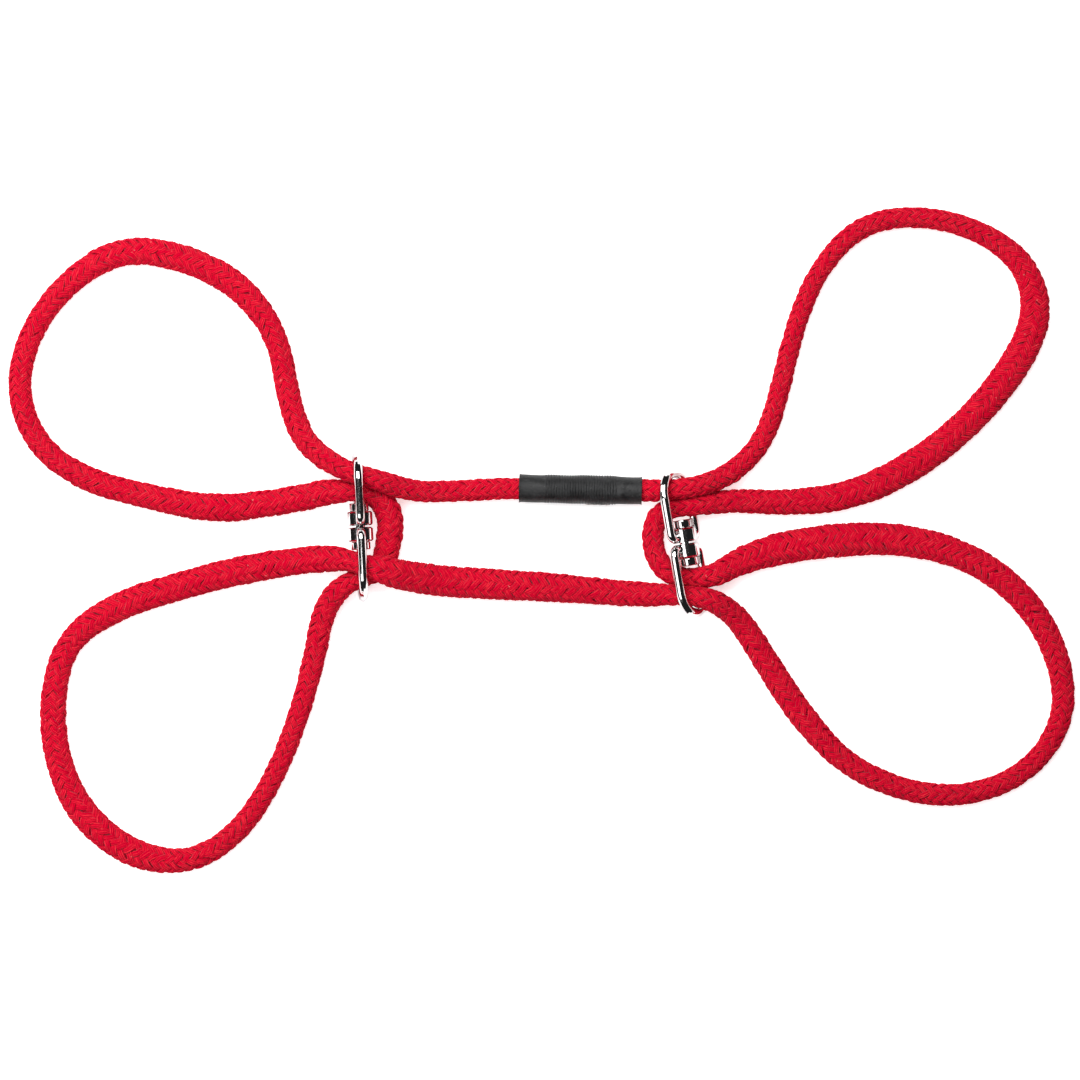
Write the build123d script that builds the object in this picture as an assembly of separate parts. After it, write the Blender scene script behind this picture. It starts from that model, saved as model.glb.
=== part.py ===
"""Braided rope ring threaded through two double-eye swivels and laid out as four loops.

Millimetres, +Z up, the floor at Z = 0. The rope is one closed ring: its two ends
meet inside a heat-shrink sleeve. Each stretch of it is a node, and neighbouring
stretches meet face to face.
"""
from build123d import *
import math
import os

# --- rope -----------------------------------------------------------------
ROPE_D = 7.2            # braided cover, pressed round
CORE_D = 3.6            # straight core yarns inside the cover
REST = ROPE_D / 2       # height of the centreline where the rope lies on the floor
TANGENT_SHARE = 0.45    # part of the shorter run that a bend takes up

# --- heat-shrink sleeve and the whipping under it ---------------------------
SLEEVE_LENGTH = 45.6
SLEEVE_D = 10.8
SLEEVE_NECK_D = 10.2    # between the whipping and the lips
SLEEVE_CENTRE = Vector(15.2, 18.9, 6.03)
SLEEVE_YAW = -1.25      # degrees about Z
SLEEVE_PITCH = -1.45    # degrees about Y: its right end is held up by the rope in the eye
LIP_LENGTH = 1.2
WHIPPING_LENGTH = 26.4
WHIPPING_D = 9.0
WHIPPING_TURNS = 22
THREAD_RELIEF = 0.35    # depth of the groove between two turns

# --- double-eye swivel ------------------------------------------------------
BAR_D = 3.4             # round bar that the eye is bent from
LEG_OFFSET = 8.6        # leg centreline from the swivel's axis
EYE_REACH = 28.0        # outer end of the arch from the swivel's middle
CORNER_R = 2.5          # bend where a leg turns in to the boss
RIDGE = 0.25            # raised seam round the outside of the arch
RIDGE_SPAN = 150.0      # degrees of the arch that the seam covers
HALF_GAP = 0.3          # half of the slit between the two bosses
BOSS_D = 9.8
BOSS_TOP = 5.6
BOSS_CHAMFER = 0.55
PIN_D = 4.0
BORE_D = 4.1
HEAD_D = 7.3
HEAD_BASE = 5.65
HEAD_TOP = 8.7
HEAD_EDGE = 0.5

# Place of each swivel: middle, lean of its axis about Z, turn of its eyes about that axis.
SWIVELS = {
    "left": (Vector(-67.3, 5.06, 10.4), 2.75, 5.0),
    "right": (Vector(54.2, -1.1, 8.85), 9.67, -35.0),
}

# --- route of the rope, from the sleeve's middle round to it again ------------
ROUTE = {
    "top_right": [(42.5, 18.3, 6.72), (57.0, 19.4, 12.4)],
    "loop_upper_right": [
        (71.5, 24.3, 6.4), (84.5, 37.5, REST), (90.5, 58.0, REST), (95.5, 80.0, REST),
        (105.0, 103.0, REST), (121.0, 119.0, REST), (143.0, 122.0, REST), (166.0, 116.0, REST),
        (183.0, 103.0, REST), (187.0, 83.0, REST), (177.0, 63.0, REST), (160.0, 43.0, REST),
        (140.0, 27.5, REST), (117.0, 16.5, REST), (93.0, 13.8, REST), (72.0, 15.0, 5.0)],
    "right_bridge": [
        (58.0, 12.8, 8.7), (45.5, 11.6, 4.4), (41.8, 3.5, REST), (43.2, -6.8, REST),
        (49.5, -14.0, 4.8), (64.0, -14.3, 8.8)],
    "loop_lower_right": [
        (75.0, -7.6, 5.4), (91.0, -2.8, REST), (112.0, 0.3, REST), (136.0, 0.6, REST),
        (160.0, -5.4, REST), (181.0, -20.0, REST), (194.5, -42.0, REST), (197.5, -66.0, REST),
        (184.5, -86.5, REST), (161.0, -96.5, REST), (137.0, -94.5, REST), (114.0, -84.0, REST),
        (98.0, -66.0, REST), (85.0, -46.0, REST), (75.0, -29.5, 5.2)],
    "bottom_run": [
        (63.5, -21.4, 12.0), (49.0, -20.5, 8.3), (33.0, -20.2, REST), (13.0, -18.4, REST),
        (-12.0, -16.8, REST), (-32.0, -15.9, REST), (-48.0, -13.8, 9.0), (-58.5, -11.3, 15.4),
        (-74.0, -6.6, 10.7)],
    "loop_lower_left": [
        (-90.0, -7.6, 5.0), (-112.0, -11.2, REST), (-136.0, -17.4, REST), (-160.0, -25.0, REST),
        (-178.5, -38.5, REST), (-183.5, -62.0, REST), (-181.0, -84.0, REST), (-171.5, -104.0, REST),
        (-153.0, -118.5, REST), (-131.0, -121.5, REST), (-112.0, -109.0, REST), (-99.0, -88.0, REST),
        (-90.5, -66.0, REST), (-84.5, -44.0, REST), (-81.5, -27.0, 5.0)],
    "left_bridge": [
        (-74.0, -16.35, 9.15), (-60.0, -12.0, 6.2), (-56.6, -2.0, 5.2), (-55.6, 9.5, 5.8),
        (-61.5, 17.9, 7.3), (-76.0, 18.8, 7.8)],
    "loop_upper_left": [
        (-96.0, 14.4, 4.4), (-121.0, 11.2, REST), (-146.0, 16.0, REST), (-171.0, 22.5, REST),
        (-189.0, 35.5, REST), (-196.5, 56.0, REST), (-192.0, 77.0, REST), (-178.5, 96.0, REST),
        (-158.0, 109.5, REST), (-134.0, 106.5, REST), (-112.0, 95.5, REST), (-98.0, 76.0, REST),
        (-94.5, 53.0, REST), (-88.5, 36.0, 5.8)],
    "top_left": [
        (-74.0, 26.1, 11.8), (-61.0, 22.6, 13.7), (-47.0, 17.9, 6.6), (-30.0, 18.4, 4.0),
        (-13.5, 19.53, 5.3)],
}


def bend_radius(before, corner, after):
    """Largest arc that a corner's two runs leave room for, and the turn in degrees."""
    run_in = corner - before
    run_out = after - corner
    turn = run_in.get_angle(run_out)
    shorter = min(run_in.length, run_out.length)
    return TANGENT_SHARE * shorter / math.tan(math.radians(turn) / 2), turn


def rope_stretches():
    """Yield each stretch's name and centreline, cut in the middle of a straight run."""
    corners = [(name, Vector(*point)) for name, points in ROUTE.items() for point in points]
    places = [SLEEVE_CENTRE] + [place for _, place in corners] + [SLEEVE_CENTRE]
    start = SLEEVE_CENTRE
    taken = 0
    for name, points in ROUTE.items():
        first, last = taken + 1, taken + len(points)
        radii = []
        for i in range(first, last + 1):
            radius, turn = bend_radius(places[i - 1], places[i], places[i + 1])
            radii.append(radius)
            print(f"{name:17s} bend {i:2d}: turn {turn:5.1f} deg, radius {radius:7.1f} mm")
        whole = last == len(corners)
        end = SLEEVE_CENTRE if whole else (places[last] + places[last + 1]) / 2
        yield name, FilletPolyline(start, *places[first:last + 1], end, radius=radii)
        start, taken = end, last


def tube(path, diameter):
    """Round bar swept along a path."""
    section = Plane(origin=path @ 0, z_dir=path % 0) * Circle(diameter / 2)
    return sweep(section, path=path)


def rope_parts():
    """Cover and core of every stretch of the rope."""
    parts = {}
    total = 0.0
    for name, path in rope_stretches():
        core = tube(path, CORE_D)
        cover = tube(path, ROPE_D) - core
        area = math.pi / 4 * (ROPE_D ** 2 - CORE_D ** 2)
        share = cover.volume / (area * path.length)
        print(f"{name:17s} length {path.length:6.1f} mm, cover volume / (section x length) {share:.4f}")
        total += path.length
        parts["rope_cover_" + name] = cover
        parts["rope_core_" + name] = core
    print(f"whole rope {total:.0f} mm")
    return parts


def turned(profile):
    """Solid of revolution about X from points (x, radius)."""
    outline = make_face(Polyline(*[(x, radius, 0) for x, radius in profile], close=True))
    return revolve(outline, axis=Axis.X)


def at_sleeve(shape):
    return Location(SLEEVE_CENTRE) * Rot(0, 0, SLEEVE_YAW) * Rot(0, SLEEVE_PITCH, 0) * shape


def whipping():
    """Thread wound tightly over the butted rope ends, a groove between its turns."""
    half = WHIPPING_LENGTH / 2
    pitch = WHIPPING_LENGTH / WHIPPING_TURNS
    crest, root, inner = WHIPPING_D / 2, WHIPPING_D / 2 - THREAD_RELIEF, ROPE_D / 2
    profile = [(-half, inner), (-half, root)]
    for turn in range(WHIPPING_TURNS):
        x = -half + turn * pitch
        profile += [(x + pitch / 4, crest), (x + pitch * 3 / 4, crest), (x + pitch, root)]
    profile.append((half, inner))
    return at_sleeve(turned(profile))


def heat_shrink_sleeve():
    """Shrunk tube: close on the rope at its necks, proud over the whipping, flared lips."""
    half, inside, lip = SLEEVE_LENGTH / 2, WHIPPING_LENGTH / 2, LIP_LENGTH
    neck, belly, bore = SLEEVE_NECK_D / 2, SLEEVE_D / 2, ROPE_D / 2
    outer = [(-half, belly), (-half + lip, neck), (-inside - lip, neck), (-inside, belly)]
    profile = outer + [(-x, radius) for x, radius in reversed(outer)]
    profile += [(half, bore), (inside, bore), (inside, WHIPPING_D / 2)]
    profile += [(-inside, WHIPPING_D / 2), (-inside, bore), (-half, bore)]
    return at_sleeve(turned(profile))


def eye_bar():
    """Closed ring of round bar in the YZ plane, its arch towards +Y."""
    foot = HALF_GAP + BAR_D / 2
    arch_y = EYE_REACH - BAR_D / 2 - LEG_OFFSET
    inset, side = LEG_OFFSET - CORNER_R, LEG_OFFSET
    shoulder = foot + CORNER_R
    diagonal = CORNER_R * math.sqrt(0.5)
    ring = [Line((0, foot, -inset), (0, foot, inset))]
    ring.append(ThreePointArc(
        (0, foot, inset), (0, shoulder - diagonal, inset + diagonal), (0, shoulder, side)))
    ring.append(Line((0, shoulder, side), (0, arch_y, side)))
    ring.append(ThreePointArc((0, arch_y, side), (0, arch_y + side, 0), (0, arch_y, -side)))
    ring.append(Line((0, arch_y, -side), (0, shoulder, -side)))
    ring.append(ThreePointArc(
        (0, shoulder, -side), (0, shoulder - diagonal, -inset - diagonal), (0, foot, -inset)))
    return tube(Wire(ring), BAR_D)


def arch_ridge():
    """Seam left by forming, a low wedge that runs tangent off the bar round the arch."""
    arch_y = EYE_REACH - BAR_D / 2 - LEG_OFFSET
    bar_r = BAR_D / 2
    apex = bar_r + RIDGE
    spread = math.acos(bar_r / apex)
    out, half_width = bar_r * math.cos(spread), bar_r * math.sin(spread)
    corners = [(-half_width, out), (0, apex), (half_width, out), (0, 0)]
    points = [(x, arch_y + LEG_OFFSET + y, 0) for x, y in corners]
    wedge = make_face(Polyline(*points, close=True))
    hub = Axis((0, arch_y, 0), (1, 0, 0))
    start = wedge.rotate(hub, -RIDGE_SPAN / 2)
    return revolve(start, axis=hub, revolution_arc=RIDGE_SPAN)


def along_y(radius, low, high):
    """Cylinder about the Y axis between two heights on it."""
    middle = (low + high) / 2
    return Location((0, middle, 0)) * Rot(-90, 0, 0) * Cylinder(radius, high - low)


def swivel_eye():
    """Eye ring with its bored boss, arch towards +Y."""
    boss = along_y(BOSS_D / 2, HALF_GAP, BOSS_TOP)
    rims = boss.edges().filter_by(GeomType.CIRCLE)
    boss = chamfer(rims, BOSS_CHAMFER)
    return eye_bar() + arch_ridge() + boss - along_y(BORE_D / 2, 0, EYE_REACH / 2)


def swivel_pin():
    """Rivet through both bosses with a head in each eye."""
    pin = along_y(PIN_D / 2, -HEAD_BASE - 1, HEAD_BASE + 1)
    for side in (-1, 1):
        low, high = sorted((side * HEAD_BASE, side * HEAD_TOP))
        head = along_y(HEAD_D / 2, low, high)
        rims = head.edges().filter_by(GeomType.CIRCLE)
        pin += fillet(rims, HEAD_EDGE)
    return pin


def swivel_parts():
    """Two eyes and a pin for each swivel, at their places in the rope."""
    parts = {}
    for side, (middle, lean, turn) in SWIVELS.items():
        place = Location(middle) * Rot(0, 0, lean) * Rot(0, turn, 0)
        parts[side + "_upper_eye"] = place * swivel_eye()
        parts[side + "_lower_eye"] = place * Rot(0, 0, 180) * swivel_eye()
        parts[side + "_swivel_pin"] = place * swivel_pin()
    return parts


def main():
    os.makedirs("parts", exist_ok=True)
    parts = rope_parts()
    parts["splice_whipping"] = whipping()
    parts["heat_shrink_sleeve"] = heat_shrink_sleeve()
    parts.update(swivel_parts())
    for name, shape in parts.items():
        export_step(shape, f"parts/{name}.step")
    print(len(parts), "nodes")


main()
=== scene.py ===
# %% [markdown]
# # A swivel rope hobble, built around its CAD frame
#
# The object is one ring of red cotton braid, threaded through two chrome double-eye swivels so
# that it lies in four open loops. Its two ends meet inside a black heat-shrink sleeve. The CAD
# frame holds the sizes, the swivels and a plain tube where the rope runs. This script keeps the
# swivels as they are and builds the soft parts over the tubes: a real 16-strand braid, its core,
# the loose fibres that stand off it, and the shrunk sleeve.

import math

import bmesh
import bpy
import numpy as np
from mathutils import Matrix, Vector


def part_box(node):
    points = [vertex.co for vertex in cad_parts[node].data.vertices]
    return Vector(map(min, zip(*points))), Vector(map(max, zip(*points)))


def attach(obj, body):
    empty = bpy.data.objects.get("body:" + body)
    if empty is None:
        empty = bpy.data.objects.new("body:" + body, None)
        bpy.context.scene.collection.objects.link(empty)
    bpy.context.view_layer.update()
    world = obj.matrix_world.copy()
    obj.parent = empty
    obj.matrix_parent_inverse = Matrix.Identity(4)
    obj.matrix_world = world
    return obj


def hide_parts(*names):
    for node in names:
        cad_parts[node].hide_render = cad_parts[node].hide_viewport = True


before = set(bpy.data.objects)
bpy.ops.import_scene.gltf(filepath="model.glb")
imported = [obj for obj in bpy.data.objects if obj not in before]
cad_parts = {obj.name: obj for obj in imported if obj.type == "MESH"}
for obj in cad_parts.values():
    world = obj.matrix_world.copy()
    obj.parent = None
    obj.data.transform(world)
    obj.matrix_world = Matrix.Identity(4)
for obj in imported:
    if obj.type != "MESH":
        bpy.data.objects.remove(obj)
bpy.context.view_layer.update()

# %% [markdown]
# ## Camera
#
# The object is seen from straight above, as laid out on a table. A long lens keeps the loops from
# leaning outwards at the edges, and the height follows from the width of floor that it takes in.

# %% Camera above the middle of the layout
VIEW_WIDTH = 0.4062         # metres of floor from one side of the view to the other
CAMERA_HEIGHT = 1.5
SENSOR = 0.036

camera_data = bpy.data.cameras.new("overhead_camera")
camera_data.sensor_width = SENSOR * 1000
camera_data.lens = SENSOR * 1000 * CAMERA_HEIGHT / VIEW_WIDTH
camera = bpy.data.objects.new("overhead_camera", camera_data)
camera.location = (0, 0, CAMERA_HEIGHT)
bpy.context.scene.collection.objects.link(camera)
bpy.context.scene.camera = camera
print("lens", round(camera_data.lens), "mm")

# %% [markdown]
# ## The rope's route
#
# The rope is one length, so its route is one list of points, from the middle of the sleeve round
# to it again. A NURBS spline of order 3 rounds them off as a limp rope does: between its ends it
# passes close inside each point. Points at REST lie on the floor, and the others carry the rope
# over and under itself and up through the eyes of the swivels.

# %% Points of the route, in metres, by stretch
REST = 0.0036               # height of the centreline where the rope lies on the floor
SLEEVE_CENTRE = (0.0152, 0.0189, 0.00603)
ROUTE = {
    "top_right": [
        (0.0425, 0.0183, 0.00672), (0.057, 0.0194, 0.0124)],
    "loop_upper_right": [
        (0.0715, 0.0243, 0.0064), (0.0845, 0.0375, REST), (0.0905, 0.058, REST),
        (0.0955, 0.08, REST), (0.105, 0.103, REST), (0.121, 0.119, REST), (0.143, 0.122, REST),
        (0.166, 0.116, REST), (0.183, 0.103, REST), (0.187, 0.083, REST), (0.177, 0.063, REST),
        (0.16, 0.043, REST), (0.14, 0.0275, REST), (0.117, 0.0165, REST), (0.093, 0.0138, REST),
        (0.072, 0.015, 0.005)],
    "right_bridge": [
        (0.058, 0.0128, 0.0087), (0.0455, 0.0116, 0.0044), (0.0418, 0.0035, REST),
        (0.0432, -0.0068, REST), (0.0495, -0.014, 0.0048), (0.064, -0.0143, 0.0088)],
    "loop_lower_right": [
        (0.075, -0.0076, 0.0054), (0.091, -0.0028, REST), (0.112, 0.0003, REST),
        (0.136, 0.0006, REST), (0.16, -0.0054, REST), (0.181, -0.02, REST),
        (0.1945, -0.042, REST), (0.1975, -0.066, REST), (0.1845, -0.0865, REST),
        (0.161, -0.0965, REST), (0.137, -0.0945, REST), (0.114, -0.084, REST),
        (0.098, -0.066, REST), (0.085, -0.046, REST), (0.075, -0.0295, 0.0052)],
    "bottom_run": [
        (0.0635, -0.0214, 0.012), (0.049, -0.0205, 0.0083), (0.033, -0.0202, REST),
        (0.013, -0.0184, REST), (-0.012, -0.0168, REST), (-0.032, -0.0159, REST),
        (-0.048, -0.0138, 0.009), (-0.0585, -0.0113, 0.0154), (-0.074, -0.0066, 0.0107)],
    "loop_lower_left": [
        (-0.09, -0.0076, 0.005), (-0.112, -0.0112, REST), (-0.136, -0.0174, REST),
        (-0.16, -0.025, REST), (-0.1785, -0.0385, REST), (-0.1835, -0.062, REST),
        (-0.181, -0.084, REST), (-0.1715, -0.104, REST), (-0.153, -0.1185, REST),
        (-0.131, -0.1215, REST), (-0.112, -0.109, REST), (-0.099, -0.088, REST),
        (-0.0905, -0.066, REST), (-0.0845, -0.044, REST), (-0.0815, -0.027, 0.005)],
    "left_bridge": [
        (-0.074, -0.01635, 0.00915), (-0.06, -0.012, 0.0062), (-0.0566, -0.002, 0.0052),
        (-0.0556, 0.0095, 0.0058), (-0.0615, 0.0179, 0.0073), (-0.076, 0.0188, 0.0078)],
    "loop_upper_left": [
        (-0.096, 0.0144, 0.0044), (-0.121, 0.0112, REST), (-0.146, 0.016, REST),
        (-0.171, 0.0225, REST), (-0.189, 0.0355, REST), (-0.1965, 0.056, REST),
        (-0.192, 0.077, REST), (-0.1785, 0.096, REST), (-0.158, 0.1095, REST),
        (-0.134, 0.1065, REST), (-0.112, 0.0955, REST), (-0.098, 0.076, REST),
        (-0.0945, 0.053, REST), (-0.0885, 0.036, 0.0058)],
    "top_left": [
        (-0.074, 0.0261, 0.0118), (-0.061, 0.0226, 0.0137), (-0.047, 0.0179, 0.0066),
        (-0.03, 0.0184, 0.004), (-0.0135, 0.01953, 0.0053)],
}
print(sum(map(len, ROUTE.values())), "points in", len(ROUTE), "stretches")

# %% [markdown]
# ## The core
#
# Inside the braid runs a bundle of straight yarns. It is the rope's own spline with a round bevel,
# so it is also the piece that says how long the rope is. It keeps the braid from being seen
# through where strands part.

# %% Core along the whole route
CORE_RADIUS = 0.0030
SPLINE_STEPS = 24           # spline points between two points of the route


def route_curve(name, thickness):
    """Open NURBS curve along the whole route, as thick as each point's radius says, in metres."""
    curve = bpy.data.curves.new(name, "CURVE")
    curve.dimensions = "3D"
    curve.resolution_u = SPLINE_STEPS
    curve.bevel_depth = 1.0 if thickness else 0
    curve.bevel_resolution = 2
    curve.use_fill_caps = True
    places = [SLEEVE_CENTRE]
    for points in ROUTE.values():
        places += points
    places.append(SLEEVE_CENTRE)
    spline = curve.splines.new("NURBS")
    spline.points.add(len(places) - 1)
    for point, place in zip(spline.points, places):
        point.co, point.radius = (*place, 1), thickness
    spline.order_u = 3
    spline.use_endpoint_u = True
    return curve


core = bpy.data.objects.new("rope_core", route_curve("rope_core", CORE_RADIUS))
core.data.resolution_u = SPLINE_STEPS // 3
bpy.context.scene.collection.objects.link(core)


def spline_points():
    """The points of the route's spline, as Blender draws it with no bevel."""
    bare = bpy.data.objects.new("bare_route", route_curve("bare_route", 0))
    mesh = bpy.data.meshes.new_from_object(bare)
    line = np.array([v.co for v in mesh.vertices])
    bpy.data.meshes.remove(mesh)
    bpy.data.curves.remove(bare.data)
    return line


line = spline_points()
line_length = float(np.linalg.norm(np.diff(line, axis=0), axis=1).sum())
print(len(line), "spline points,", round(line_length, 3), "m")

# %% [markdown]
# ## How wide the rope lies
#
# A limp braid isn't round. Where it is pulled it goes narrow, and where it is slack, as on the
# outside of a loop, it spreads and flattens under its own weight. These widths say how it lies at
# each point of the route. Between the bars of an eye it is always squeezed to one size.

# %% Width at each point of the route, in millimetres
WIDTHS = {
    "top_right": [8.6, 8.4],
    "loop_upper_right": [
        8.2, 8.0, 7.8, 7.6, 7.6, 7.8, 7.9, 8.3, 9.6, 11.6, 11.8, 11.2, 11.6, 11.0, 9.6, 8.8],
    "right_bridge": [8.4, 8.2, 8.4, 8.4, 8.4, 8.8],
    "loop_lower_right": [
        10.4, 12.4, 12.6, 11.9, 10.8, 10.4, 9.4, 8.4, 8.0, 8.2, 8.6, 8.9, 10.0, 9.8, 9.4],
    "bottom_run": [8.8, 9.2, 9.6, 10.6, 11.6, 11.8, 11.6, 11.2, 10.4],
    "loop_lower_left": [
        10.4, 10.8, 10.7, 10.6, 9.2, 9.8, 9.9, 11.0, 10.6, 8.8, 8.4, 7.8, 8.0, 8.6, 9.0],
    "left_bridge": [9.2, 9.6, 10.2, 10.4, 10.0, 9.8],
    "loop_upper_left": [
        10.2, 10.6, 9.6, 9.2, 8.7, 8.8, 8.8, 9.2, 10.2, 10.6, 10.4, 8.6, 9.0, 8.8],
    "top_left": [8.6, 8.4, 8.2, 8.2, 8.3],
}
SLEEVE_WIDTH = 8.0          # inside the sleeve
SQUEEZED = 7.3              # between the bars of an eye
SQUEEZE_REACH = 0.007       # how far along the rope the squeeze is felt
EYE_REACH = 0.028           # from a swivel's middle to past the end of its eyes


def nearest_along(points):
    """Distance along the rope of the spline point nearest to each of these."""
    gaps = np.linalg.norm(line[None] - np.array(points)[:, None], axis=2)
    return along[gaps.argmin(1)]


steps = np.linalg.norm(np.diff(line, axis=0), axis=1)
along = np.concatenate([[0], np.cumsum(steps)])
rope_length = float(along[-1])
route_points = [point for points in ROUTE.values() for point in points]
marks = np.concatenate([[0], nearest_along(route_points), [rope_length]])
widths = [SLEEVE_WIDTH] + [w for row in WIDTHS.values() for w in row] + [SLEEVE_WIDTH]
print("rope", round(rope_length, 3), "m, widths", min(widths), "to", max(widths), "mm")

# %% Even samples along the rope, with its sides and its section
SAMPLE = 0.00085            # metres between two rings of a strand
LOFT = 0.35                 # how much of the extra width also shows as extra height
LOFT_FROM = 8.4             # width in millimetres from which that counts
BASE_HEIGHT = 7.3           # height of the rope where it is squeezed, in millimetres
UNFELT = 9                  # so many reaches away that no squeeze is felt
SMOOTHING = 13              # samples that the width is averaged over

count = int(rope_length / SAMPLE) + 1
at = np.linspace(0, rope_length, count)
centre = np.stack([np.interp(at, along, line[:, k]) for k in range(3)], axis=1)
tangent = np.gradient(centre, axis=0)
tangent /= np.linalg.norm(tangent, axis=1, keepdims=True)
side = np.cross(tangent, (0, 0, 1))
side /= np.linalg.norm(side, axis=1, keepdims=True)
upward = np.cross(side, tangent)

width = np.interp(at, marks, widths)
for swivel in ("left", "right"):
    low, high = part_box(swivel + "_swivel_pin")
    middle = (low + high) / 2
    near = np.abs(centre[:, 0] - middle.x) / SQUEEZE_REACH
    near = np.where(np.abs(centre[:, 1] - middle.y) < EYE_REACH, near, UNFELT)
    width += (SQUEEZED - width) * np.exp(-near ** 2)
padded = np.pad(width, SMOOTHING // 2, "edge")
width = np.convolve(padded, np.full(SMOOTHING, 1 / SMOOTHING), "valid")
height = BASE_HEIGHT + LOFT * np.maximum(width - LOFT_FROM, 0)
centre[:, 2] += (height / 1000 - 2 * REST) / 2
print(count, "samples, lying", round(width.min(), 1), "to", round(width.max(), 1), "mm wide")

# %% [markdown]
# ## Trees written as sums
#
# Both the braid's geometry and the finishes are node trees. Written node by node they are hard to
# read, so a socket is wrapped in a small class: adding or multiplying two of them adds the Math
# node that does it. One method makes any other node.

# %% Sockets that can be added and multiplied
class Value:
    """An output socket that takes part in sums."""

    def __init__(self, graph, socket):
        self.graph, self.socket = graph, socket

    def __add__(self, other):
        return self.graph.maths("ADD", self, other)

    def __sub__(self, other):
        return self.graph.maths("SUBTRACT", self, other)

    def __rsub__(self, other):
        return self.graph.maths("SUBTRACT", other, self)

    def __mul__(self, other):
        return self.graph.maths("MULTIPLY", self, other)

    def __truediv__(self, other):
        return self.graph.maths("DIVIDE", self, other)

    __radd__, __rmul__ = __add__, __mul__


class Graph:
    """A node tree, with one way to make any node and a short way to make sums."""

    def __init__(self, tree):
        self.tree = tree

    def node(self, kind, settings=None, out=0, **sockets):
        """Adds a node and returns one of its outputs. A socket is named, or i and its number."""
        made = self.tree.nodes.new(kind)
        for name, value in (settings or {}).items():
            setattr(made, name, value)
        for name, value in sockets.items():
            number = name[1:] if name[0] == "i" and name[1:].isdigit() else None
            socket = made.inputs[int(number)] if number else made.inputs[name.replace("_", " ")]
            if isinstance(value, Value):
                self.tree.links.new(value.socket, socket)
            else:
                socket.default_value = value
        return Value(self, made.outputs[out]) if len(made.outputs) else made

    def maths(self, operation, *terms):
        sockets = {f"i{k}": term for k, term in enumerate(terms)}
        return self.node("ShaderNodeMath", {"operation": operation}, **sockets)

    def vector(self, operation, *terms, scale=None):
        sockets = {f"i{k}": term for k, term in enumerate(terms)}
        if scale is not None:
            sockets["Scale"] = scale
        return self.node("ShaderNodeVectorMath", {"operation": operation}, **sockets)

    def named(self, name, kind="FLOAT"):
        return self.node("GeometryNodeInputNamedAttribute", {"data_type": kind}, Name=name)


print("sums of sockets ready")

# %% Growing a mesh with a tree
TABLE_GAP = 0.00003         # nothing that a tree makes goes lower than this


def geometry_tree(name, inputs):
    """New Geometry Nodes tree with these named inputs, its graph and its input values."""
    tree = bpy.data.node_groups.new(name, "GeometryNodeTree")
    tree.interface.new_socket("Geometry", in_out="INPUT", socket_type="NodeSocketGeometry")
    for label, kind in inputs.items():
        tree.interface.new_socket(label, in_out="INPUT", socket_type="NodeSocket" + kind)
    tree.interface.new_socket("Geometry", in_out="OUTPUT", socket_type="NodeSocketGeometry")
    graph = Graph(tree)
    entry = tree.nodes.new("NodeGroupInput")
    given = {label: Value(graph, entry.outputs[label]) for label in ("Geometry", *inputs)}
    return tree, graph, given


def close_tree(graph, result, material):
    """Ends a tree in Realize Instances and Set Material, smooth and pressed flat on the table."""
    solid = graph.node("GeometryNodeRealizeInstances", Geometry=result)
    position = graph.node("GeometryNodeInputPosition")
    level = graph.node("ShaderNodeSeparateXYZ", out=2, i0=position)
    lift = graph.node("ShaderNodeCombineXYZ", i2=graph.maths("MAXIMUM", TABLE_GAP - level, 0.0))
    solid = graph.node("GeometryNodeSetPosition", Geometry=solid, Offset=lift)
    smooth = graph.node("GeometryNodeSetShadeSmooth", {"domain": "FACE"}, Geometry=solid)
    smooth = graph.node("GeometryNodeSetShadeSmooth", {"domain": "EDGE"}, Geometry=smooth, i2=True)
    finished = graph.node("GeometryNodeSetMaterial", Geometry=smooth, Material=material)
    exit_node = graph.tree.nodes.new("NodeGroupOutput")
    graph.tree.links.new(finished.socket, exit_node.inputs["Geometry"])


def grown(name, start, tree, settings):
    """The plain mesh that a tree makes of a starting mesh, as a new object."""
    seed = bpy.data.objects.new(name + "_seed", start)
    bpy.context.scene.collection.objects.link(seed)
    modifier = seed.modifiers.new(tree.name, "NODES")
    modifier.node_group = tree
    for item in tree.interface.items_tree:
        if item.in_out == "INPUT" and item.name in settings:
            modifier[item.identifier] = settings[item.name]
    view = bpy.context.evaluated_depsgraph_get()
    mesh = bpy.data.meshes.new_from_object(seed.evaluated_get(view), depsgraph=view)
    mesh.name = name
    seed.modifiers.clear()
    bpy.data.objects.remove(seed)
    bpy.data.meshes.remove(start)
    made = bpy.data.objects.new(name, mesh)
    bpy.context.scene.collection.objects.link(made)
    return made


print("tree helpers ready")

# %% [markdown]
# ## Red cotton
#
# Every strand of the cover is three soft yarns side by side. The finish reads four values that the
# braid's tree leaves on its mesh: where a point lies across its strand, whether the strand is on
# top or tucked under, how far along the rope it is, and which strand it is. From them it paints
# shade into the furrows between yarns, along the strands' edges and where a strand is tucked under,
# paints a highlight on the fibres and yarn crests of strands on top, and runs the fibres along the
# strand. A little sheen softens the edges.

# %% Finish of the braid
YARNS = 3                               # side by side in one strand
RED_BODY = (0.55, 0.0, 0.020, 1)
RED_HIGHLIGHT = (0.82, 0.035, 0.050, 1)     # painted highlight: a fibre on the crest of a yarn, painted lighter where it catches the light
RED_SHADE_AND_BLOTCH = (0.37, 0.0, 0.015, 1)        # painted shade in crossings, furrows and at strands' edges, and the tone of random blotches
FLECK = (0.62, 0.20, 0.17, 1)           # husk left in the cotton
FINISH_READS = ("across", "rise", "along", "strand")
FIBRES_ALONG, FIBRES_ACROSS = 330, 7    # noise waves in a metre of rope, and in half a strand
STRANDS_APART = 3.7                     # noise waves between one strand's fibres and the next's
BLOTCHES, GRAINS, HUSKS = 70.0, 1500.0, 560.0   # noise waves in a metre


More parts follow.
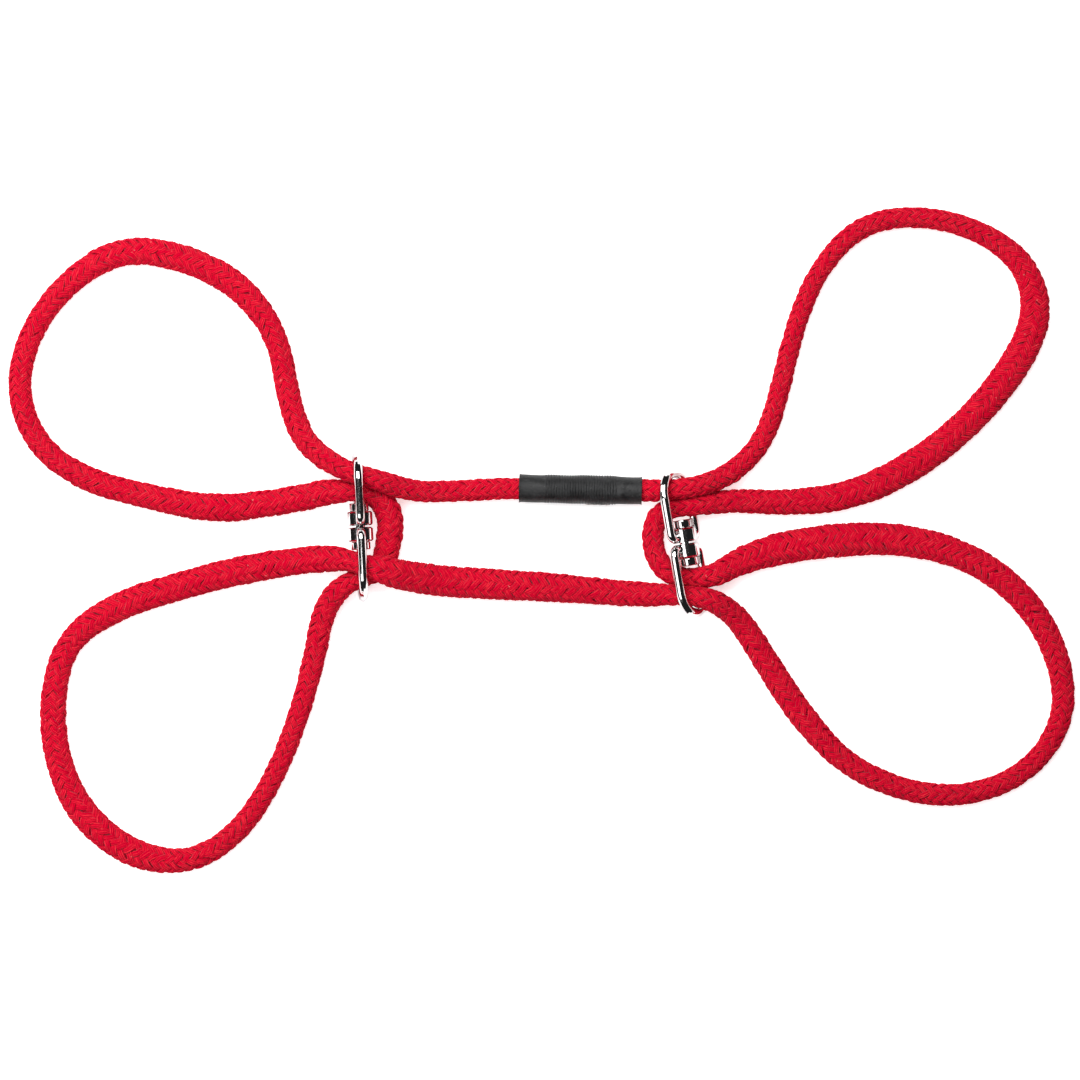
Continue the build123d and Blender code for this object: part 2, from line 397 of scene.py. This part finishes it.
def mixed(graph, factor, first, second):
    """Colour that goes from first to second as factor goes from 0 to 1."""
    return graph.node("ShaderNodeMix", {"data_type": "RGBA"}, out=2, i0=factor, i6=first, i7=second)


def ramp(graph, value, low, high):
    """0 below low, 1 above high, smooth between."""
    return graph.node("ShaderNodeMapRange", {"interpolation_type": "SMOOTHSTEP"},
                      i0=value, i1=low, i2=high)


def noise(graph, where, scale, detail=3.0, roughness=0.6):
    return graph.node("ShaderNodeTexNoise", Vector=where, Scale=scale, Detail=detail,
                      Roughness=roughness)


def new_finish(name, **constants):
    """Material, its graph and its Principled shader, whose plain numbers are set on its sockets."""
    material = bpy.data.materials.new(name)
    material.use_nodes = True
    shader = material.node_tree.nodes["Principled BSDF"]
    for label, value in constants.items():
        shader.inputs[label.replace("_", " ")].default_value = value
    return material, Graph(material.node_tree), shader


def feed(graph, shader, **links):
    for label, value in links.items():
        graph.tree.links.new(value.socket, shader.inputs[label.replace("_", " ")])


def own_place(graph):
    return graph.node("ShaderNodeTexCoord", out=3)


def red_cotton():
    material, graph, shader = new_finish(
        "red_cotton", Sheen_Weight=0.20, Sheen_Roughness=0.35, Sheen_Tint=(1.0, 0.30, 0.40, 1),
        Specular_IOR_Level=0.03)
    across, rise, far, strand = [
        graph.node("ShaderNodeAttribute", {"attribute_name": label}, out=2)
        for label in FINISH_READS]
    place = own_place(graph)
    crest = graph.maths("ABSOLUTE", graph.maths("SINE", (across + 1) * (YARNS * math.pi / 2)))
    thread_place = graph.node(
        "ShaderNodeCombineXYZ", i0=far * FIBRES_ALONG, i1=across * FIBRES_ACROSS,
        i2=strand * STRANDS_APART)
    thread = noise(graph, thread_place, 1.0, 3.0)
    blotch = noise(graph, place, BLOTCHES)
    grain = noise(graph, place, GRAINS, 2.0)
    # Painted highlight: fibre streaks and yarn crests of strands on top are painted lighter, as
    # where they catch the light.
    light = ramp(graph, thread + crest * 0.12, 0.58, 0.72)
    # Painted shade: darker where a strand is tucked under another, at a strand's edges and in the
    # furrows between yarns.
    tucked_shade = ramp(graph, rise + thread * 0.3, 0.55, -0.8)
    edge = graph.maths("POWER", graph.maths("ABSOLUTE", across), 4.0)
    furrow_shade = ramp(graph, 1 - crest, 0.45, 1.0)
    painted_shade = graph.maths("MAXIMUM", tucked_shade * 0.85, edge * 0.75)
    painted_shade = graph.maths("MAXIMUM", painted_shade, furrow_shade * 0.80)
    # The painted shade is mixed into the body colour, then random blotches of darker tone are
    # added.
    colour = mixed(graph, painted_shade * (0.7 + grain * 0.6), RED_BODY, RED_SHADE_AND_BLOTCH)
    colour = mixed(graph, ramp(graph, blotch, 0.40, 0.75) * 0.25, colour, RED_SHADE_AND_BLOTCH)
    colour = mixed(graph, light * (1 - tucked_shade) * 0.75, colour, RED_HIGHLIGHT)
    husk = ramp(graph, noise(graph, place, HUSKS, 1.0), 0.755, 0.79)
    colour = mixed(graph, husk * 0.55, colour, FLECK)
    height_map = crest * 0.7 + thread * 0.9 + grain * 0.5
    bump = graph.node("ShaderNodeBump", Strength=0.8, Distance=0.00025, Height=height_map)
    feed(graph, shader, Base_Color=colour, Roughness=0.78 + thread * 0.2, Normal=bump)
    return material


cotton = red_cotton()
print("red cotton has", len(cotton.node_tree.nodes), "nodes")

# %% [markdown]
# ## The braid
#
# A 16-strand braid is made by eight bobbins going round one way and eight the other, each passing
# over two and under two. On the machine the places where they pass over stay fixed round the rope,
# so on the finished rope the stitches stand in straight columns that look like a row of chevrons.
#
# That makes one short rule. A strand turns round the rope with the distance along it, left or
# right by its hand, and rises or dips with the cosine of four times its angle, the two hands in
# opposite sense. A Geometry Nodes tree applies the rule to sixteen copies of the centreline, gives
# each point the surface's own normal so that the strand lies flat, and sweeps a strand's section
# along it.

# %% The section of one strand, three yarns wide
STRANDS_EACH_WAY = 8
STRAND_CREST = 0.52         # top of the strand over its half width
ROUNDNESS = 2.6             # 2 is an ellipse, and a larger number is flatter on top
FURROW = 0.20               # dip between two yarns
UNDERSIDE = 0.34            # depth of its flat underside
UNDERSIDE_HALF = 0.6        # half width of that flat


def strand_section():
    """Closed outline of a strand for a half width of 1, with its place across as an attribute."""
    shares = np.linspace(-1, 1, 2 * YARNS + 1)
    top = STRAND_CREST * np.sqrt(1 - np.abs(shares) ** ROUNDNESS)
    top[2:-2:2] -= FURROW
    outline = [(high, place, 0) for place, high in zip(shares, top)]
    outline += [(-UNDERSIDE, UNDERSIDE_HALF, 0), (-UNDERSIDE, -UNDERSIDE_HALF, 0)]
    mesh = bpy.data.meshes.new("strand_section")
    n = len(outline)
    mesh.from_pydata(outline, [(k, (k + 1) % n) for k in range(n)], [])
    across = mesh.attributes.new("across", "FLOAT", "POINT")
    across.data.foreach_set("value", [place for _, place, _ in outline])
    return bpy.data.objects.new("strand_section", mesh)


section = strand_section()
print("a strand's section has", len(section.data.vertices), "points")

# %% The tree that braids a centreline
COLUMNS = 4                 # times round the rope that a strand goes over and under
FLOAT_SHARPNESS = 1.5       # how quickly it changes between over and under
WANDER = 0.90               # radians that a hand-laid strand strays round the rope
HEAVE = 1.8                 # how unevenly it rises, against an even rise of 1
WANDER_SCALE = 230.0        # waves of that unevenness in a metre
STRAND_SHIFT = 7.3          # takes each strand's unevenness from another part of the noise
HEAVE_SHIFT = (0.0, 3.1, 5.7)   # and its heave from another than its wander


def braid_tree():
    tree, graph, given = geometry_tree("Braid", {
        "Strands each way": "Int", "Lift": "Float", "Section": "Object", "Cotton": "Material"})
    rail = graph.node("GeometryNodeMeshToCurve", Mesh=given["Geometry"])
    copies = graph.tree.nodes.new("GeometryNodeDuplicateElements")
    copies.domain = "SPLINE"
    graph.tree.links.new(rail.socket, copies.inputs["Geometry"])
    both_ways = given["Strands each way"] * 2
    graph.tree.links.new(both_ways.socket, copies.inputs["Amount"])
    rails, number = Value(graph, copies.outputs[0]), Value(graph, copies.outputs[1])
    odd = graph.maths("MODULO", number, 2.0)
    hand = 1 - odd * 2
    turn = graph.maths("FLOOR", number / 2) / given["Strands each way"] * (2 * math.pi)
    angle = hand * graph.named("turns") + turn
    waves = graph.node("ShaderNodeCombineXYZ", i0=graph.named("along") * WANDER_SCALE,
                       i1=number * STRAND_SHIFT)
    stray = noise(graph, waves, 1.0, 1.0) - 0.5
    spread = angle + graph.named("flatness") * graph.maths("SINE", angle * 2) + stray * WANDER
    cosine, sine = graph.maths("COSINE", spread), graph.maths("SINE", spread)
    half_width, half_height = graph.named("half_width"), graph.named("half_height")
    sideways, up = graph.named("side", "FLOAT_VECTOR"), graph.named("up", "FLOAT_VECTOR")
    swing = graph.maths("COSINE", angle * COLUMNS - math.pi / 4) * FLOAT_SHARPNESS
    heave = noise(graph, graph.vector("ADD", waves, HEAVE_SHIFT), 1.0, 1.0) - 0.5
    rise = hand * graph.maths("TANH", swing) + heave * HEAVE
    outwards = graph.vector("NORMALIZE", graph.vector(
        "ADD", graph.vector("SCALE", sideways, scale=cosine / half_width),
        graph.vector("SCALE", up, scale=sine / half_height)))
    offset = graph.vector(
        "ADD", graph.vector("SCALE", sideways, scale=cosine * half_width),
        graph.vector("SCALE", up, scale=sine * half_height))
    offset = graph.vector(
        "ADD", offset, graph.vector("SCALE", outwards, scale=rise * given["Lift"]))
    kept = graph.node("GeometryNodeStoreNamedAttribute", {"data_type": "FLOAT_VECTOR"},
                      Geometry=rails, Name="outwards", i3=outwards)
    for label, value in (("rise", rise), ("strand", number)):
        kept = graph.node("GeometryNodeStoreNamedAttribute", Geometry=kept, Name=label, i3=value)
    placed = graph.node("GeometryNodeSetPosition", Geometry=kept, Offset=offset)
    facing = graph.node("GeometryNodeSetCurveNormal", {"mode": "FREE"},
                        Curve=placed, i2=graph.named("outwards", "FLOAT_VECTOR"))
    profile = graph.node("GeometryNodeObjectInfo", out=4, Object=given["Section"])
    profile = graph.node("GeometryNodeMeshToCurve", Mesh=profile)
    strands = graph.node("GeometryNodeCurveToMesh", Curve=facing, i1=profile,
                         Scale=graph.named("strand_half"), i3=True)
    close_tree(graph, strands, given["Cotton"])
    return tree


braiding = braid_tree()
print("the braid's tree has", len(braiding.nodes), "nodes")

# %% How the strands turn along the rope
PITCH = 0.026               # metres along the rope for one turn of a strand, on round rope
ROUND_RIM = 0.0267          # distance round that rope
STRAND_THICKNESS = 0.0009
LIFT = 0.56                 # share of its thickness that a strand goes up or down
FIT = 1.14                  # strands are this much wider than their share, so they press together

outer_half = np.stack([width, height], axis=1) / 2000
half_width, half_height = (outer_half - STRAND_THICKNESS).T
total, gap = half_width + half_height, half_width - half_height
rim = math.pi * total * (1 + gap ** 2 / (4 * total ** 2))      # round an ellipse, very nearly
pitch = PITCH * np.sqrt(ROUND_RIM / (rim + 2 * math.pi * STRAND_THICKNESS))
turns = np.concatenate([[0], np.cumsum(2 * math.pi * np.diff(at) / pitch[1:])])
slope = np.arctan(rim / pitch)
strand_half = FIT * rim / STRANDS_EACH_WAY * np.cos(slope) / 2
wide, tall = half_width ** 2, half_height ** 2
flatness = (wide - tall) / (4 * (wide + tall))
print("strands", round(strand_half.mean() * 2000, 2), "mm wide at",
      round(math.degrees(slope.mean())), "degrees")

# %% Braid each stretch of the rope
ends = [(marks[k] + marks[k + 1]) / 2 for k in range(len(marks) - 1)]
last_points = np.cumsum([len(points) for points in ROUTE.values()])
cuts = [int(round(ends[k] / rope_length * (count - 1))) for k in last_points[:-1]]
cuts = [0, *cuts, count - 1]


def centreline(first, last):
    """Samples first to last as a line of edges that holds what the tree reads."""
    mesh = bpy.data.meshes.new("centreline")
    own = slice(first, last + 1)
    mesh.from_pydata(centre[own], [(k, k + 1) for k in range(last - first)], [])
    numbers = {"turns": turns, "flatness": flatness, "half_width": half_width,
               "half_height": half_height, "strand_half": strand_half, "along": at}
    for label, values in numbers.items():
        mesh.attributes.new(label, "FLOAT", "POINT").data.foreach_set("value", values[own])
    for label, values in {"side": side, "up": upward}.items():
        vectors = mesh.attributes.new(label, "FLOAT_VECTOR", "POINT")
        vectors.data.foreach_set("vector", values[own].ravel())
    return mesh


def keep_attributes(piece, kept):
    """Removes what only the trees needed."""
    for label in [a.name for a in piece.data.attributes]:
        if not (label in kept or label.startswith(".") or label in ("position", "sharp_face")):
            piece.data.attributes.remove(piece.data.attributes[label])


braids = []
braid_shelf = bpy.data.collections.new("braid")
for (name, points), first, last in zip(ROUTE.items(), cuts, cuts[1:]):
    piece = grown("braid_" + name, centreline(first, last), braiding, {
        "Strands each way": STRANDS_EACH_WAY, "Lift": STRAND_THICKNESS * LIFT,
        "Section": section, "Cotton": cotton})
    braid_shelf.objects.link(piece)
    braids.append(piece)
    print(f"{piece.name:24s} {sum(len(p.vertices) - 2 for p in piece.data.polygons)} triangles")

# %% Fit the braid and its core to the frame
for piece, name in zip(braids, ROUTE):
    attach(piece, "rope_ring")
    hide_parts("rope_cover_" + name)
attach(core, "rope_ring")
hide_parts(*["rope_core_" + name for name in ROUTE])
print(len(braids), "stretches of braid on the rope ring")

# %% [markdown]
# ## Loose fibres
#
# Cotton is spun from short fibres, and their ends stand off every yarn as a soft nap. It is what
# makes the rope's edge look blurred instead of cut. The tree scatters bent hairs over the outer
# side of the strands that are on top, leaning them away from the surface at random.

# %% Hairs over the braid
HAIR_LENGTH = 0.0010
HAIR_RADIUS = 0.000034
HAIRS_PER_M2 = 100000
HAIR_SEED = 7
OUTER_SIDE = 0.6            # how far a face has to look outwards to have hairs
TOP_SHARE = 0.3             # how much it counts for that a strand is on top
SWERVE = 1.2                # how far a hair leans at most, against 1 straight out
SHORTEST = 0.35             # shortest hair over the longest


def hair_tree():
    tree, graph, given = geometry_tree("Nap", {
        "Braid": "Collection", "Density": "Float", "Length": "Float", "Radius": "Float",
        "Seed": "Int", "Finish": "Material"})
    cover = graph.node("GeometryNodeCollectionInfo", Collection=given["Braid"])
    cover = graph.node("GeometryNodeRealizeInstances", Geometry=cover)
    normal = graph.node("GeometryNodeInputNormal")
    facing = graph.node("ShaderNodeVectorMath", {"operation": "DOT_PRODUCT"}, out=1,
                        i0=normal, i1=graph.named("outwards", "FLOAT_VECTOR"))
    outer = graph.node("FunctionNodeCompare", {"operation": "GREATER_THAN"},
                       i0=facing + graph.named("rise") * TOP_SHARE, i1=OUTER_SIDE)
    scatter = graph.tree.nodes.new("GeometryNodeDistributePointsOnFaces")
    for label, value in (("Mesh", cover), ("Selection", outer), ("Density", given["Density"]),
                         ("Seed", given["Seed"])):
        graph.tree.links.new(value.socket, scatter.inputs[label])
    points, away = Value(graph, scatter.outputs[0]), Value(graph, scatter.outputs[1])
    swerve = graph.node("FunctionNodeRandomValue", {"data_type": "FLOAT_VECTOR"},
                        i0=(-SWERVE,) * 3, i1=(SWERVE,) * 3, Seed=given["Seed"])
    lean = graph.node("FunctionNodeAlignRotationToVector", {"axis": "Z"},
                      Vector=graph.vector("ADD", away, swerve))
    size = graph.node("FunctionNodeRandomValue", out=1, i2=SHORTEST, i3=1.0, Seed=given["Seed"])
    spine = graph.node("GeometryNodeCurveQuadraticBezier", Resolution=2, Start=(0, 0, 0),
                       Middle=(0.05, 0, 0.55), End=(0.55, 0.1, 0.75))
    ring = graph.node("GeometryNodeCurvePrimitiveCircle", Resolution=3,
                      i4=given["Radius"] / given["Length"])
    hair = graph.node("GeometryNodeCurveToMesh", Curve=spine, i1=ring, i3=True)
    hairs = graph.node("GeometryNodeInstanceOnPoints", Points=points, Instance=hair, Rotation=lean,
                       Scale=size * given["Length"])
    close_tree(graph, hairs, given["Finish"])
    return tree


def nap_finish():
    """Single cotton fibres: paler than the yarn, because light goes through them."""
    return new_finish("loose_fibre", Base_Color=(0.70, 0.022, 0.05, 1), Roughness=0.8,
                      Specular_IOR_Level=0.1)[0]


nap = grown("rope_nap", bpy.data.meshes.new("nap_start"), hair_tree(), {
    "Braid": braid_shelf, "Density": float(HAIRS_PER_M2), "Length": HAIR_LENGTH,
    "Radius": HAIR_RADIUS, "Seed": HAIR_SEED, "Finish": nap_finish()})
for piece in braids:
    keep_attributes(piece, FINISH_READS)
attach(nap, "rope_ring")
print("nap:", sum(len(p.vertices) - 2 for p in nap.data.polygons), "triangles")

# %% [markdown]
# ## Core yarns
#
# The core is hardly twisted. It is seen only through gaps between strands, so its finish is plain:
# dull red cotton with paler streaks.

# %% Finish of the core
def core_cotton():
    material, graph, shader = new_finish("core_cotton", Roughness=0.9, Sheen_Weight=0.2)
    streaks = noise(graph, own_place(graph), 650.0)
    colour = mixed(graph, streaks, (0.36, 0.0, 0.014, 1), (0.52, 0.03, 0.035, 1))
    feed(graph, shader, Base_Color=colour)
    return material


core.data.materials.append(core_cotton())
print("core follows", round(rope_length, 3), "m of route")

# %% [markdown]
# ## Heat-shrink sleeve
#
# A tube of black polyolefin is slid over the whipped join and heated. It shrinks until it grips,
# so it prints whatever is under it: fine ribs over the whipping, a hump where a thread end is
# tucked, a soft wave elsewhere. The two ends stay cut square, with a slight lip. Such a shape is a
# turned profile with a formula added to its radius, so it is made as a grid of rings.

# %% Shape of the sleeve
SLEEVE_RADIUS = 0.0054
SLEEVE_WALL = 0.0009
LIP = 0.0011                # length of the flare at each end
LIP_FLARE = 0.00022
RIB_PITCH = 0.0010
RIB_DEPTH = 0.00026
RIB_HALF_SPAN = 0.0132      # the whipping's half length
RIB_FADE = 0.0004           # over which the ribs end
BARE_DIP = 0.00022          # how much lower the sleeve lies where there is no whipping
# Each wobble of the ribs is its strength, its waves round and its radians in a metre along. Each
# swell is its height, its radians in a metre along, its waves round and its start.
WOBBLES = [(0.5, 3, 420), (0.4, 7, -900)]
SWELLS = [(0.00008, 210, 2, 0), (0.00006, 540, -3, 1)]
# Each hump is its place along, its angle and its height.
HUMPS = [(0.0150, 1.9, 0.00042), (0.0158, 1.2, 0.00034), (-0.0170, 2.2, 0.00020)]
HUMP_SIZE = 0.0012
AROUND, RING_STEP = 96, 0.0003
EDGE_INSETS = (0.15, 0.85, 1.0)     # rings over a cut end, in shares of the wall
BORE_STEP = 0.0002          # how far in from the cut the bore begins
BORE_SHARE = 0.8            # share of the half length where the bore is plain


def sleeve_radius(x, angle, half):
    """Outer radius of the sleeve at a place along it and round it."""
    ribbed = 1 / (1 + np.exp((np.abs(x) - RIB_HALF_SPAN) / RIB_FADE))
    phase = 2 * math.pi * x / RIB_PITCH
    for strength, waves, lengthways in WOBBLES:
        phase = phase + strength * np.sin(waves * angle + lengthways * x)
    radius = SLEEVE_RADIUS - BARE_DIP * (1 - ribbed) + ribbed * RIB_DEPTH * np.cos(phase)
    for tall, lengthways, waves, start in SWELLS:
        radius = radius + tall * np.sin(lengthways * x + waves * angle + start)
    radius = radius + LIP_FLARE * np.clip((np.abs(x) - half + LIP) / LIP, 0, 1) ** 2
    for at_x, at_angle, tall in HUMPS:
        away = ((x - at_x) / HUMP_SIZE) ** 2 + ((angle - at_angle) * SLEEVE_RADIUS / HUMP_SIZE) ** 2
        radius = radius + tall * np.exp(-away)
    return radius


def ring_mesh(name, rings):
    """Closed mesh from rings of points, the last joined to the first."""
    around = len(rings[0])
    faces = []
    for k in range(len(rings)):
        a, b = k * around, (k + 1) % len(rings) * around
        faces += [(a + i, a + (i + 1) % around, b + (i + 1) % around, b + i) for i in range(around)]
    mesh = bpy.data.meshes.new(name)
    mesh.from_pydata(np.concatenate(rings), [], faces)
    mesh.shade_smooth()
    return mesh


def sleeve_rings():
    """Rings along the outside, in over one cut end, through the bore and out over the other."""
    low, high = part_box("heat_shrink_sleeve")
    half = (high.x - low.x) / 2 / tangent[0][0]
    angle = np.linspace(0, 2 * math.pi, AROUND, endpoint=False)
    round_it = np.outer(np.cos(angle), -side[0]) + np.outer(np.sin(angle), upward[0])

    def ring(x, radius):
        return centre[0] + x * tangent[0] + radius * round_it

    def outer(x):
        return sleeve_radius(x, angle, half)[:, None]

    def cut_end(x):
        """Rings over a cut end, from the outside inwards."""
        inwards = -math.copysign(BORE_STEP, x)
        return [ring(x + inwards * (inset == 1.0), outer(x) - SLEEVE_WALL * inset)
                for inset in EDGE_INSETS]

    outside = [ring(x, outer(x)) for x in np.linspace(-half, half, int(2 * half / RING_STEP) + 1)]
    bore = [ring(x, SLEEVE_RADIUS - SLEEVE_WALL) for x in (half * BORE_SHARE, -half * BORE_SHARE)]
    return outside + cut_end(half) + bore + cut_end(-half)[::-1]


def facing_outwards(mesh):
    """Recalculates a closed mesh's normals."""
    shell = bmesh.new()
    shell.from_mesh(mesh)
    bmesh.ops.recalc_face_normals(shell, faces=shell.faces)
    shell.to_mesh(mesh)
    shell.free()


sleeve_mesh = ring_mesh("shrunk_sleeve", sleeve_rings())
facing_outwards(sleeve_mesh)
sleeve = bpy.data.objects.new("shrunk_sleeve", sleeve_mesh)
bpy.context.scene.collection.objects.link(sleeve)
print("sleeve has", len(sleeve_mesh.polygons), "faces")

# %% Finish of the sleeve
def shrink_black():
    """Matte black plastic, greyed where it was handled and scuffed."""
    material, graph, shader = new_finish("shrink_black", Specular_IOR_Level=0.28)
    place = own_place(graph)
    cloud = noise(graph, place, 180.0, 5.0)
    grain = noise(graph, place, 1300.0, 2.0)
    streak_place = graph.node("ShaderNodeMapping", Vector=place, Scale=(90, 900, 900))
    streak = noise(graph, streak_place, 1.0, 3.0)
    grey = ramp(graph, cloud * 0.6 + streak * 0.3 + grain * 0.4, 0.48, 0.86)
    colour = mixed(graph, grey, (0.0030, 0.0032, 0.0034, 1), (0.022, 0.0225, 0.0235, 1))
    dust = ramp(graph, noise(graph, place, 900.0, 1.0), 0.72, 0.76)
    colour = mixed(graph, dust * 0.3, colour, (0.12, 0.12, 0.12, 1))
    bump = graph.node("ShaderNodeBump", Strength=0.7, Distance=0.0002, Height=grain + cloud * 0.6)
    feed(graph, shader, Base_Color=colour, Roughness=0.42 + grey * 0.25, Normal=bump)
    return material


sleeve.data.materials.append(shrink_black())
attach(sleeve, "rope_ring")
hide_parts("heat_shrink_sleeve")
print("sleeve finished")

# %% [markdown]
# ## Chrome swivels and the whipping
#
# These CAD parts already have their true shape, so only their finish is made. Plated steel is a
# mirror with almost no colour: what makes it look like chrome is what it reflects. Polishing
# leaves faint lines, and a noise in the roughness makes the plating duller in patches. A grey tint
# keeps its edges from going pure white.

# %% Finishes of the CAD parts
def swivel_chrome():
    material, graph, shader = new_finish(
        "swivel_chrome", Metallic=1.0, Specular_Tint=(0.60, 0.60, 0.62, 1))
    place = own_place(graph)
    haze = noise(graph, place, 260.0)
    line_place = graph.node("ShaderNodeMapping", Vector=place, Scale=(3000, 200, 3000))
    lines = noise(graph, line_place, 1.0)
    colour = mixed(graph, haze, (0.66, 0.65, 0.64, 1), (0.78, 0.77, 0.77, 1))
    bump = graph.node("ShaderNodeBump", Strength=0.06, Distance=0.00005, Height=lines)
    feed(graph, shader, Base_Color=colour, Roughness=0.04 + haze * 0.08, Normal=bump)
    return material


def whipping_thread():
    material, graph, shader = new_finish("whipping_thread", Roughness=0.7)
    twist = noise(graph, own_place(graph), 1400.0)
    colour = mixed(graph, twist, (0.55, 0.52, 0.46, 1), (0.75, 0.72, 0.66, 1))
    feed(graph, shader, Base_Color=colour)
    return material


def repaint(node, material):
    """Gives a CAD part's mesh this finish in place of its own, and leaves its shape alone."""
    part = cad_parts[node]
    part.data.materials.clear()
    part.data.materials.append(material)


chrome = swivel_chrome()
chromed = [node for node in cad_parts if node.endswith(("_eye", "_pin"))]
for node in chromed:
    repaint(node, chrome)
white_thread = whipping_thread()
repaint("splice_whipping", white_thread)
print("chromed:", ", ".join(sorted(chromed)))

# %% [markdown]
# ## A stray end of thread
#
# Along the sleeve's lower side a few turns of pale thread stick out, left over from the whipping.
# It is a thin wavy line, so one bevelled curve makes it, with a sine for its waves.

# %% Thread caught on the sleeve's side
THREAD_RADIUS = 0.00016
THREAD_START, THREAD_END = 0.0170, 0.0262
THREAD_WAVES = 4
THREAD_SUNK = 0.00010       # how far it is pressed into the sleeve's side between waves
THREAD_BULGE = 0.00035      # how far a wave stands out
THREAD_BELOW = 0.0012       # how far below the rope's middle it runs


def thread_points():
    """Points of the thread: it presses on the sleeve's side and bulges out between."""
    for share in np.linspace(0, 1, 8 * THREAD_WAVES + 1):
        x = THREAD_START + share * (THREAD_END - THREAD_START)
        bulge = abs(math.sin(math.pi * THREAD_WAVES * share))
        y = centre[0][1] + (x - centre[0][0]) * tangent[0][1] / tangent[0][0]
        outwards = y - SLEEVE_RADIUS + THREAD_SUNK - THREAD_BULGE * bulge
        yield (x, outwards, centre[0][2] - THREAD_BELOW, 1)


thread_curve = bpy.data.curves.new("stray_thread", "CURVE")
thread_curve.dimensions = "3D"
thread_curve.bevel_depth, thread_curve.bevel_resolution = 1.0, 2
thread_curve.use_fill_caps = True
thread_line = thread_curve.splines.new("POLY")
thread_places = list(thread_points())
thread_line.points.add(len(thread_places) - 1)
for point, place in zip(thread_line.points, thread_places):
    point.co, point.radius = place, THREAD_RADIUS
thread_curve.materials.append(white_thread)
thread = bpy.data.objects.new("stray_thread", thread_curve)
bpy.context.scene.collection.objects.link(thread)
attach(thread, "rope_ring")
print("stray thread with", THREAD_WAVES, "waves")

# %% [markdown]
# ## Where the rope leaves the sleeve
#
# The rope leaves the sleeve at the sleeve's right end and comes back into it at the left. This
# finds the point of its centreline where it leaves.

FIRST_STRETCH = 0.1         # metres of rope in which it leaves the sleeve
sleeve_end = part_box("heat_shrink_sleeve")[1].x
leaving = centre[at <= FIRST_STRETCH]
exit_point = leaving[np.abs(leaving[:, 0] - sleeve_end).argmin()]
print("cord leaves the sleeve at", np.round(exit_point * 1000, 1), "mm")

# %% [markdown]
# ## Floor and light
#
# A pale light table and soft light from the left. The table glows a little, as product tables do,
# so shadows on it stay faint. Chrome looks like chrome when it reflects both light and dark, so the
# room is almost black and the light comes from two panels that hang level above the table. In the
# left swivel the dark gap between them shows in the upper bar, and the near panel makes a long
# white line down the lower bar. The right swivel is turned about its own axis, and its bars come
# out whiter.

# %% Stage
FLOOR_HALF = 3.0
TABLE_GLOW = 0.6
PANEL_HEIGHT = 1.0
ROOM = (0.016, 0.016, 0.017, 1)


def floor_finish():
    material, graph, shader = new_finish(
        "pale_floor", Roughness=0.9, Specular_IOR_Level=0.1, Emission_Color=(1, 1, 1, 1),
        Emission_Strength=TABLE_GLOW)
    tone = noise(graph, own_place(graph), 4.0)
    colour = mixed(graph, tone, (0.90, 0.90, 0.90, 1), (0.94, 0.94, 0.94, 1))
    feed(graph, shader, Base_Color=colour)
    return material


def panel(name, middle, width_m, depth_m, turned, power):
    """Soft light that hangs level over the table, turned by so many degrees."""
    data = bpy.data.lights.new(name, "AREA")
    data.shape, data.size, data.size_y, data.energy = "RECTANGLE", width_m, depth_m, power
    light = bpy.data.objects.new(name, data)
    light.location = (*middle, PANEL_HEIGHT)
    light.rotation_euler.z = math.radians(turned)
    bpy.context.scene.collection.objects.link(light)


floor_mesh = bpy.data.meshes.new("floor")
corners = [(x * FLOOR_HALF, y * FLOOR_HALF, 0) for x, y in ((-1, -1), (1, -1), (1, 1), (-1, 1))]
floor_mesh.from_pydata(corners, [], [(0, 1, 2, 3)])
floor_mesh.materials.append(floor_finish())
floor = bpy.data.objects.new("floor", floor_mesh)
bpy.context.scene.collection.objects.link(floor)

panel("key_panel", middle=(-0.35, 0.62), width_m=1.4, depth_m=1.0, turned=0, power=26)
panel("near_panel", middle=(-0.67, -0.466), width_m=1.27, depth_m=0.81, turned=6, power=9)
world = bpy.data.worlds.new("dim_room")
bpy.context.scene.world = world
world.use_nodes = True
world.node_tree.nodes["Background"].inputs["Color"].default_value = ROOM
bpy.context.scene.view_settings.view_transform = "Standard"
print("stage lit by two panels")

# %% Update the scene
bpy.context.view_layer.update()
